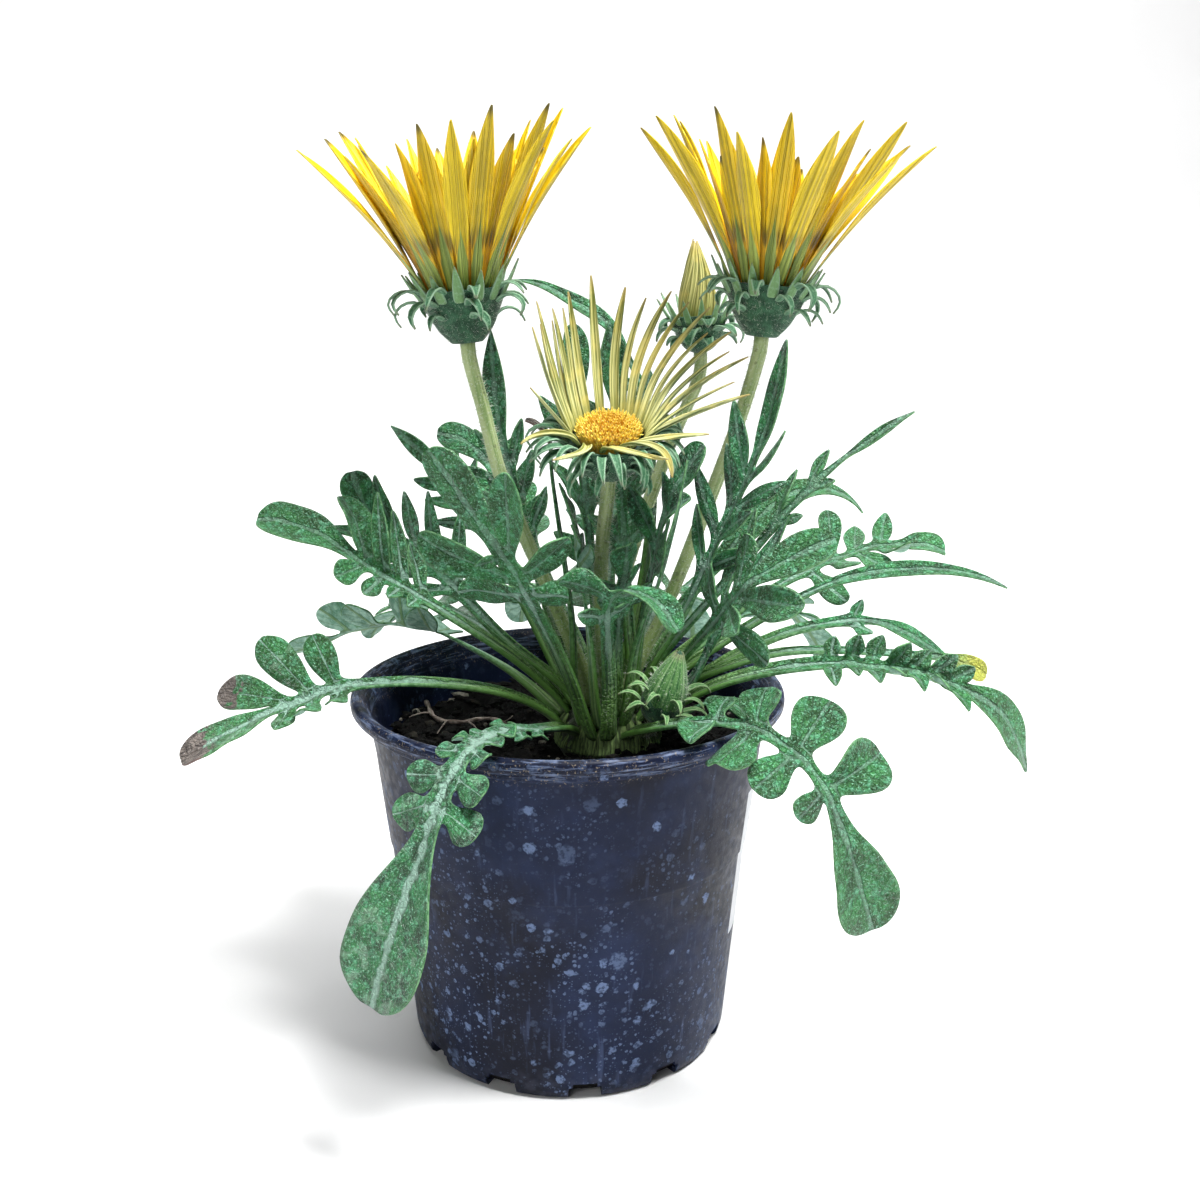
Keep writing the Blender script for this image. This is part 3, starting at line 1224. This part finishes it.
def cup_radius(name, height):
    """The cup's outer radius at this height, rounded between the points of its outline."""
    rim, tall, outline = CUPS[name][0], CUPS[name][1], CUPS[name][-1]
    points = [Vector((rim * r, 0, tall * z)) for r, z in outline]
    path = smooth_path(points, points[1] - points[0] + Vector((1, 0, 0)))
    for a, b in zip(path, path[1:]):
        if height <= b.z:
            return a.x + (b.x - a.x) * (height - a.z) / max(b.z - a.z, 0.01)
    return rim


def cup_profile(name):
    rim, tall, floor_radius = CUPS[name][:3]
    heights = [tall * share for share in (0, 0.03, 0.08, 0.15, 0.25, 0.36, 0.48, 0.6, 0.72, 0.86, 0.97, 1)]
    walls = [(cup_radius(name, z), z) for z in heights]
    return [(0, 0), *walls, (rim - 0.6, tall + 0.1), (floor_radius, tall - CUP_DEPTH), (0, tall - CUP_DEPTH)]


def bract(cage, path, level, half_width, outline, cup, state=(0, 0, 0, 0)):
    """A narrow sheet along a path, hollowed by cup, with its inner face up."""
    whole = length_of(path)
    rows = []
    for share, breadth in outline:
        place, way = at(path, share)
        left = (level - way * level.dot(way)).normalized()
        up = way.cross(left)
        half = half_width * breadth
        tint = (share, *state[1:])
        row = []
        for u in (-1, -0.5, 0, 0.5, 1):
            spot = place - left * u * half + up * cup * u * u * half
            row.append(cage.point(spot, (share * whole, u * half, abs(u)), tint))
        rows.append(row)
    cage.strip(rows)


# The outer bracts' rows: how far up the cup they start, their share of the full reach and how many there are.
OPEN_BRACTS = ((0.45, 0.8, 5), (0.7, 0.95, 7), (0.92, 1.0, 9))
BRACT_ROWS = {
    "left": OPEN_BRACTS,
    "right": OPEN_BRACTS,
    "faded": ((0.45, 0.75, 8), (0.66, 0.85, 11), (0.84, 0.95, 13), (0.96, 0.9, 15)),
    "closed_bud": ((0.3, 0.65, 5), (0.55, 0.75, 6), (0.8, 0.7, 6)),
}
BRACT_BREADTHS = {"left": 1.0, "right": 1.0, "faded": 0.85, "closed_bud": 1.7}
BRACT_OUTLINE = ((0, 0.85), (0.25, 1.0), (0.5, 0.86), (0.75, 0.56), (1, 0.12))
INNER_OUTLINE = ((0, 1.0), (0.3, 0.96), (0.55, 0.74), (0.78, 0.42), (1, 0.06))


def involucre(name, place, cup_look, bract_looks, hair):
    """A woolly cup with upright inner bracts on its rim and bracts that curl out from its side."""
    rim, tall, _, inner_rise, outer_reach, _ = CUPS[name]
    chance = random.Random(name)
    solid = turned(cup_profile(name), 56)
    for vert in solid.verts:
        if 0.5 < vert.co.z < tall - 0.5 and vert.co.xy.length > rim * 0.3:
            angle = atan2(vert.co.y, vert.co.x)
            ridge = 0.22 * cos(angle * 14) + 0.3 * noise.noise(vert.co * 0.6)
            vert.co -= polar(1, angle) * (0.25 - ridge * 0.5)
    piece = f"{name}_involucre"
    dress(piece, mesh_of(solid, piece), [cup_look], [piece], place)
    cage = Cage()
    count = 14
    for k in range(count if inner_rise else 0):
        angle = tau * (k + 0.5) / count
        out, left = spoke(angle)
        rise = inner_rise * chance.uniform(0.8, 1.2)
        foot = out * (cup_radius(name, tall * 0.78) - 0.2) + UP * tall * 0.78
        lean = out * 0.56 + UP
        ends = [foot, foot + lean * rise * 0.55 + out * 0.3, foot + lean * (rise + 2.2)]
        bract(cage, smooth_path(ends, UP + out * 0.6), left, rim * 0.125, INNER_OUTLINE, 0.3, (0, 1, 0, 0))
    for level, size, number in BRACT_ROWS[name]:
        for k in range(number):
            angle = tau * (k + 0.5 * (level > 0.6) + chance.uniform(-0.3, 0.3)) / number
            out, left = spoke(angle)
            height = tall * level
            reach = outer_reach * size * chance.uniform(0.8, 1.1)
            droop = chance.uniform(0.15, 0.6)
            root = out * (cup_radius(name, height) - 0.6) + UP * height
            swing = left * chance.uniform(-0.25, 0.25) * reach
            ends = [
                root,
                root + out * reach * 0.32 + UP * reach * 0.24,
                root + out * reach * 0.74 + UP * reach * 0.16 + swing * 0.4,
                root + out * reach - UP * reach * droop * 0.5 + swing,
            ]
            if chance.random() < 0.45:
                ends.append(root + out * reach * 0.78 - UP * reach * (droop * 0.5 + 0.28) + swing)
            path = smooth_path(ends, out + UP * 0.7)
            bract(cage, path, left, chance.uniform(1.15, 1.7) * BRACT_BREADTHS[name], BRACT_OUTLINE, 0.3)
    sheet(f"{name}_bracts", cage, bract_looks, (), 0.45, levels=1, place=place)
    radii = [cup_radius(name, tall * k / 40) for k in range(41)]
    roots = []
    for _ in range(CUP_HAIRS):
        angle = chance.uniform(0, tau)
        height = tall * chance.uniform(0.03, 1.0)
        out = polar(1, angle)
        way = out + UP * chance.uniform(-0.6, 0.9) + polar(0.5, angle + pi / 2) * chance.uniform(-1, 1)
        spot = out * (radii[int(height / tall * 40)] - 0.4) + UP * height
        roots.append((spot, way.normalized()))
    hairs(f"{name}_cup_hairs", roots, hair, 1.5, 0.07, name + " hairs", place)


def rays(name, place, floor, looks):
    """Two alternating layers of pointed rays that rise from one ring and flare, and shorter ones inside."""
    chance = random.Random(name)
    loose = random.Random(name + " loose")
    cage = Cage()
    for k in range(RAYS + INMOST_RAYS):
        inmost = k >= RAYS
        angle = tau * ((k - RAYS) / INMOST_RAYS if inmost else (k + 0.5) / RAYS)
        out, left = spoke(angle)
        inset = INMOST_INSET if inmost else 0
        stretch = loose.uniform(0.7, 0.88) if inmost else chance.uniform(0.93, 1.05) * 0.965
        swing = loose.uniform(-1.5, 1.5) if inmost else chance.uniform(-1.5, 1.5)
        foot = Vector((OPEN_SEAT - SEAT_WALL / 2 - inset * 0.7, 0, floor + SEAT_RISE))
        curve = OUTER_RAY if k % 2 and not inmost else INNER_RAY
        flat = [foot] + [foot + (Vector((r - inset, 0, z)) - foot) * stretch for r, z in curve]
        points = [out * p.x + UP * p.z + left * swing * (n / 5) ** 2 for n, p in enumerate(flat)]
        path = smooth_path(points, UP + out * 0.15)
        whole = length_of(path)
        lean = loose.choice((-1, 1)) * loose.uniform(0.1, 0.75)
        wide = loose.uniform(0.9, 1.08)
        lot = loose.random()
        curl = loose.uniform(0.1, 0.5)
        rows = []
        for share, breadth in INMOST_OUTLINE if inmost else RAY_OUTLINE:
            spot, way = at(path, share)
            across = (left - way * left.dot(way)).normalized()
            across = Matrix.Rotation(lean * share, 3, way) @ across
            up = way.cross(across)
            half = breadth * wide
            fold = 0.2 + curl * share
            row = []
            for u in (-1, -0.62, -0.25, 0.25, 0.62, 1):
                pleat = 0.1 * cos(u * 9) * (1 - share)
                mark = (share * whole, u * half, abs(u))
                state = (share, lot, float(inmost), 0)
                here = spot - across * u * half + up * (fold * u * u + pleat) * half
                row.append(cage.point(here, mark, state))
            rows.append(row)
        cage.strip(rows)
    piece = f"{name}_rays"
    sheet(piece, cage, looks, [piece], 0.32, levels=2, place=place)


def floret(cage, spot, way, height, radius, lot):
    """A small tube that opens in five pointed teeth round a taller column."""
    side = way.orthogonal().normalized()
    other = way.cross(side)

    def ring(radius_here, up, count, phase=0.0):
        made = []
        for n in range(count):
            angle = tau * (n + phase) / count
            out = side * cos(angle) + other * sin(angle)
            mark = (up / height, 0, 0)
            made.append(cage.point(spot + way * up + out * radius_here, mark, (0, lot, 0, 0)))
        return made

    low, high = ring(radius * 0.6, 0, 5), ring(radius * 0.75, height * 0.72, 5)
    teeth = ring(radius * 1.35, height * 0.86, 5, 0.5)
    cage.hoop(high, low)
    for n in range(5):
        cage.faces.append((high[n], high[(n + 1) % 5], teeth[n]))
    foot, head = ring(radius * 0.4, height * 0.4, 4), ring(radius * 0.34, height, 4)
    cage.hoop(head, foot)
    tip = cage.point(spot + way * height * 1.12, (1.1, 0, 0), (0, lot, 0, 0))
    cage.faces += [(head[n], head[(n + 1) % 4], tip) for n in range(4)]


def disc(name, place, floor, sizes, looks):
    """A dome with tubular florets in spirals, the outer ones open and the middle ones in bud."""
    radius, rise, count, tall = sizes
    chance = random.Random(name + " disc")
    cage = Cage()
    golden = pi * (3 - sqrt(5))
    for k in range(count):
        share = sqrt((k + 0.5) / count)
        tilt = share * pi / 2
        out = polar(1, k * golden)
        spot = out * radius * sin(tilt) * 0.94 + UP * (floor + 0.8 + rise * cos(tilt))
        way = (out * sin(tilt) * 0.45 + UP + polar(0.12, chance.uniform(0, tau))).normalized()
        height = tall * (0.6 + 0.4 * share) * chance.uniform(0.85, 1.1)
        floret(cage, spot, way, height, 0.62 * (0.7 + 0.35 * share), chance.random())
    piece = f"{name}_disc"
    dress(piece, cage.mesh(piece), [looks[0]], [piece], place, smooth=False)
    profile = [(0, floor), (radius, floor), (radius, floor + 0.8)]
    for tilt in range(15, 90, 15):
        slope = radians(tilt)
        profile.append((radius * cos(slope), floor + 0.8 + rise * sin(slope)))
    solid = turned([*profile, (0, floor + 0.8 + rise)], 40)
    dress(f"{name}_receptacle", mesh_of(solid, f"{name}_receptacle"), [looks[1]], (), place)


# The faded bloom's narrow rays: where each one's middle and tip are, from the centre of its disc.
FADED_RAYS = (
    ((17, 12, 12), (32, 14, 25)),
    ((13, 14, 14), (27, 19, 31)),
    ((8, 16, 17), (17, 22, 35)),
    ((2, 17, 18), (5, 22, 36)),
    ((-3, 17, 19), (-4, 22, 39)),
    ((-8, 15, 17), (-10, 18, 35)),
    ((-11, 12, 15), (-14, 14, 31)),
    ((-14, 8, 15), (-18, 9, 33)),
    ((-15, 3, 12), (-19, 3, 27)),
    ((-15, -3, 1), (-22, -6, -1)),
    ((-6, -15, -2), (-14, -19, -3)),
    ((5, -16, -2), (14, -18, -3)),
    ((12, -12, -1), (15, -15, -8)),
    ((13, -7, 0), (25, -4, 1)),
    ((19, 1, 4), (36, 4, 10)),
    ((20, 9, 9), (36, 9, 19)),
)
# The rays that have a thinner one between them and the one before.
BETWEEN_RAYS = (0, 1, 2, 3, 6, 7, 8, 9, 15)


def faded_rays(place, floor, looks):
    """Narrow rolled rays, most of them swept up behind the disc, with thinner ones between."""
    chance = random.Random("faded rays")
    count = len(FADED_RAYS)
    back = place.to_3x3().inverted()
    heart = UP * (floor + SEAT_RISE)
    cage = Cage()
    shapes = [((k + 0.5) / count, middle, tip, 1.0) for k, (middle, tip) in enumerate(FADED_RAYS)]
    for k in BETWEEN_RAYS:
        (middle_a, tip_a), (middle_b, tip_b) = FADED_RAYS[k - 1], FADED_RAYS[k]
        middle = (Vector(middle_a) + Vector(middle_b)) / 2 + Vector((0, chance.uniform(-1, 2), 0))
        tip = (Vector(tip_a) + Vector(tip_b)) / 2 * chance.uniform(0.84, 0.98)
        shapes.append((k / count, middle, tip, 0.75))
    outline = ((0, 0.8), (0.15, 1.05), (0.4, 1.15), (0.65, 1.0), (0.85, 0.68), (1, 0.16))
    for turn, middle, tip, size in shapes:
        angle = tau * turn
        out, left = spoke(angle)
        foot = out * (FADED_SEAT - SEAT_WALL / 2) + heart
        points = [foot, foot + out * 0.8 + UP * 2, heart + back @ Vector(middle), heart + back @ Vector(tip)]
        path = smooth_path(points, UP + out * 0.3)
        state = (0, chance.random(), 0, 0)
        bract(cage, path, left, 1.08 * size, outline, chance.uniform(0.5, 1.0), state)
    sheet("faded_rays", cage, looks, ["faded_rays"], 0.35, place=place)


def closed_bud_rays(place, floor, looks):
    """The furled rays: overlapping strips that spiral up a cone."""
    chance = random.Random("furled rays")
    cage = Cage()
    count = 11
    heights = ((0, 5.6), (4, 6.2), (8, 5.9), (12, 5.0), (16, 3.8), (20, 2.5), (24.6, 0.7))
    for k in range(count):
        start = tau * k / count
        lot = chance.random()
        top = chance.uniform(0.9, 1.0)
        rows = []
        for height, radius in heights:
            share = height / 24.6
            here = start + height * 0.035
            spread = 2.5 / count * pi * (1 - 0.35 * share)
            row = []
            for u in (-1, -0.5, 0, 0.5, 1):
                angle = here - u * spread * 0.5
                flare = 0.45 * u * (1 - share) + 0.2 * (1 - u * u)
                mark = (height, u * spread * radius * 0.5, abs(u))
                spot = polar(max(0.15, radius * 0.95 + flare - 0.25), angle, floor + height * top)
                row.append(cage.point(spot, mark, (share, lot, 0, 0)))
            rows.append(row)
        cage.strip(rows)
    sheet("closed_bud_rays", cage, looks, ["closed_bud_rays"], 0.35, levels=1, place=place)


def young_bud(place, cup_look, bract_looks, hair):
    """A green bud of bracts that wrap to a point, with slender ones that curl out."""
    chance = random.Random("young bud looks")
    profile = (
        (0, 0), (1.6, 0), (3.4, 0.7), (4.6, 1.8), (5.7, 5), (5.5, 9), (4.2, 13), (2.3, 17.6), (0.8, 20.6),
        (0, 21.6),
    )
    solid = turned(profile, 30)
    dress("young_bud", mesh_of(solid, "young_bud"), [cup_look], ["young_bud"], place)
    cage = Cage()
    for k in range(12):
        angle = tau * k / 12 + chance.uniform(-0.1, 0.1)
        out, left = spoke(angle)
        ends = [out * r + UP * z for r, z in ((4.7, 2.4), (5.9, 6), (5.3, 11), (3.2, 16.5), (1.0, 20.8))]
        bract(cage, smooth_path(ends, UP + out * 0.5), left, 1.9, BRACT_OUTLINE, 0.3)
    for k in range(16):
        angle = tau * (k + chance.uniform(-0.3, 0.3)) / 16
        out, left = spoke(angle)
        root = out * 5.0 + UP * (4 + 4.6 * (k % 2))
        reach = chance.uniform(5, 8)
        shape = ((0, 0), (0.4, 0.35), (0.8, 0.4), (1.12, 0.1))
        ends = [root + out * reach * far + UP * reach * high for far, high in shape]
        bract(cage, smooth_path(ends, out + UP), left, 0.95, BRACT_OUTLINE, 0.35)
    sheet("young_bud_bracts", cage, bract_looks, (), 0.4, levels=1, place=place)
    roots = []
    for _ in range(YOUNG_BUD_HAIRS):
        angle = chance.uniform(0, tau)
        height = chance.uniform(1, 19)
        radius = 5.6 * sin(pi * min(0.95, 0.14 + height / 24))
        out = polar(1, angle)
        roots.append((out * radius + UP * height, (out + UP * chance.uniform(-0.3, 0.8)).normalized()))
    hairs("young_bud_hairs", roots, hair, 1.1, 0.08, "young bud hairs", place)


# Where each bloom's base is, a point that its axis points at, where its stem leaves the crown, and
# the points that the stem passes.
BLOOMS = {
    "left": ((-25.4, -4, 196), (-30, -4, 246), (190, "stem"),
             ((-3, -6, 125), (-17, -5, 160), (-22, -4, 180))),
    "right": ((51.5, 2, 197), (56, 2, 247), (350, "stem"),
              ((27, -3, 125), (37, 0, 150), (46, 1, 175))),
    "faded": ((10.6, -16, 163), (10.6, -31, 210), (270, "stem"),
              ((9, -12, 120), (9, -13, 142))),
    "closed_bud": ((40, 50, 189), (38, 50, 220), (85, "stem"),
                   ((15, 12, 125), (30, 38, 162), (39, 48.5, 180))),
    "young_bud": ((23, -23.5, 99), (29.5, -27, 121), (312, "low"), ()),
}


def stem(name, row, look, hair):
    """A hairy stalk from the crown into a bloom's cup, a little thicker at both ends."""
    base, aim, root_at, via = row
    root, normal = root_of(*root_at)
    way = (Vector(aim) - Vector(base)).normalized()
    end = Vector(base) + way * STEM_SINK
    points = [root, *(Vector(point) for point in via), end - way * 5, end]
    radius = STEM_RADIUS
    if not via:
        points = [root, end]
        radius = YOUNG_STEM_RADIUS
    path = smooth_path(points, normal, way)
    rings = 46 if via else 12

    def radius_at(share):
        return radius * (0.93 + 0.07 * cos(share * 11) * (1 - share) + 0.06 * share**8)

    cage = Cage()
    tube(cage, path, rings, radius_at, 18)
    node = f"stem_{name}"
    dress(node, cage.mesh(node), [look], [node])
    chance = random.Random(name + " stem")
    roots = []
    dense = FADED_STEM_HAIRS if name == "faded" else STEM_HAIRS
    for _ in range(int(length_of(path) * dense)):
        spot, along = at(path, chance.uniform(0.02, 1))
        side = along.orthogonal().normalized()
        out = Matrix.Rotation(chance.uniform(0, tau), 3, along) @ side
        roots.append((spot + out * radius * 0.9, (out + along * chance.uniform(-0.5, 0.7)).normalized()))
    hairs(f"{node}_hairs", roots, hair, 1.5, 0.09, node)


# Stage


def stage():
    """A pale floor that sweeps up into a backdrop, with light from three panels and from all round."""
    half, depth, bend, tall = 1.3, 1.4, 0.7, 3.0
    profile = [(-1.2, 0.0), (depth, 0.0)]
    for step in range(1, 13):
        slope = radians(90 * step / 12)
        profile.append((depth + bend * sin(slope), bend * (1 - cos(slope))))
    profile.append((depth + bend, tall))
    mesh = bpy.data.meshes.new("floor")
    points = [(x, y, z) for y, z in profile for x in (-half, half)]
    mesh.from_pydata(points, [], [(2 * k, 2 * k + 1, 2 * k + 3, 2 * k + 2) for k in range(len(profile) - 1)])
    mesh.shade_smooth()
    look = Look("studio_floor", 0.9)
    colour = look.mix(look.noise(0.002).fade(0.4, 0.6), (234, 234, 234), (239, 239, 239))
    mesh.materials.append(look.finish(colour, specular=0.1))
    floor = bpy.data.objects.new("floor", mesh)
    bpy.context.scene.collection.objects.link(floor)
    world = bpy.data.worlds.new("studio")
    bpy.context.scene.world = world
    world.use_nodes = True
    air = world.node_tree.nodes["Background"]
    air.inputs["Color"].default_value = (0.98, 0.99, 1, 1)
    seen = world.node_tree.nodes.new("ShaderNodeMapRange")
    seen.inputs["To Min"].default_value = 0.08
    seen.inputs["To Max"].default_value = 0.93
    rays_kind = world.node_tree.nodes.new("ShaderNodeLightPath")
    world.node_tree.links.new(rays_kind.outputs["Is Camera Ray"], seen.inputs["Value"])
    world.node_tree.links.new(seen.outputs["Result"], air.inputs["Strength"])
    aim = Vector((0, 0, 0.12))
    panel("key", Vector((0.4, -0.25, 1.3)), aim, 0.4, 33)
    panel("fill", Vector((-0.6, -1.2, 0.9)), aim, 0.8, 5)
    panel("backdrop_light", Vector((0, 0.7, 2.2)), Vector((0, 2.2, 0.5)), 1.4, 56)


def panel(name, place, aim, size, power):
    lamp = bpy.data.lights.new(name, "AREA")
    lamp.size = size
    lamp.energy = power
    made = bpy.data.objects.new(name, lamp)
    made.location = place
    made.rotation_euler = (aim - place).to_track_quat("-Z", "Y").to_euler()
    bpy.context.scene.collection.objects.link(made)


def camera():
    """The photo's camera: 367 mm in front of the pot's axis, looking a little down."""
    pitch, pan = CAMERA_PITCH, CAMERA_PAN
    forward = Vector((sin(pan) * cos(pitch), cos(pan) * cos(pitch), -sin(pitch)))
    data = bpy.data.cameras.new("camera")
    data.lens = LENS
    data.sensor_width = 36
    data.clip_start = 0.01
    made = bpy.data.objects.new("camera", data)
    made.location = CAMERA_PLACE
    made.rotation_euler = forward.to_track_quat("-Z", "Y").to_euler()
    bpy.context.scene.collection.objects.link(made)
    bpy.context.scene.camera = made
    bpy.context.scene.view_settings.view_transform = "Standard"


def build():
    camera()
    stage()
    pot(pot_look())
    soil(soil_look(), crumb_look())
    straw_scale = bark_look("old_leaf_base", (44, 62, 26), (118, 144, 84))
    crown(woolly_look("crown_sheath", (16, 26, 12), (44, 62, 28), (88, 108, 62)), (straw_scale, straw_scale))
    dry_root(bark_look("dry_root_bark", (88, 76, 68), (172, 160, 150)))
    cup_look = woolly_look("cup_wool", (20, 56, 38), (52, 96, 68), (116, 154, 124))
    bract_looks = (
        bract_look("bract_face", (30, 80, 50), (66, 120, 82), (134, 172, 138)),
        bract_look("bract_back", (34, 84, 54), (74, 126, 90), (142, 176, 146)),
    )
    young_looks = (
        bract_look("young_bract_face", (44, 96, 48), (98, 144, 82), (150, 184, 130)),
        bract_look("young_bract_back", (42, 92, 46), (94, 140, 78), (146, 180, 126)),
    )
    hair = hair_look("plant_hair", (176, 190, 168), (222, 228, 212))
    yellow_looks = (
        ray_look(
            "ray_inside", (240, 204, 10), (230, 182, 4), (248, 214, 32),
            (244, 176, 24), (130, 84, 18), 0.0,
        ),
        ray_look(
            "ray_outside", (212, 184, 28), (172, 150, 22), (238, 206, 34),
            (152, 172, 84), (96, 86, 30), 0.95,
        ),
    )
    straw_looks = (
        faded_ray_look("faded_inside", (198, 194, 126), (112, 118, 52)),
        faded_ray_look("faded_outside", (194, 196, 140), (84, 100, 48)),
    )
    floret_looks = (
        floret_look("floret", (226, 174, 28), (255, 232, 96)),
        woolly_look("receptacle", (150, 110, 24), (190, 150, 40), (214, 180, 80)),
    )
    skin = stem_look()
    for name, row in BLOOMS.items():
        stem(name, row, skin, hair)
        place = bloom_place(row[0], row[1])
        if name == "young_bud":
            young_bud(place, cup_look, young_looks, hair)
            continue
        involucre(name, place, cup_look, bract_looks, hair)
        floor = CUPS[name][1] - CUP_DEPTH + GAP
        if name == "closed_bud":
            closed_bud_rays(place, floor, straw_looks[::-1])
        elif name == "faded":
            faded_rays(place, floor, straw_looks)
            disc(name, place, floor, FADED_DISC, floret_looks)
        else:
            rays(name, place, floor, yellow_looks)
            disc(name, place, floor, OPEN_DISC, floret_looks)
    ribbed = leaf_face_look("leaf_face_ribbed", True)
    leaf_looks = (leaf_face_look(), leaf_under_look(), leaf_margin_look(), ribbed)
    for name, row in LEAVES.items():
        leaf(name, row, leaf_looks)


build()
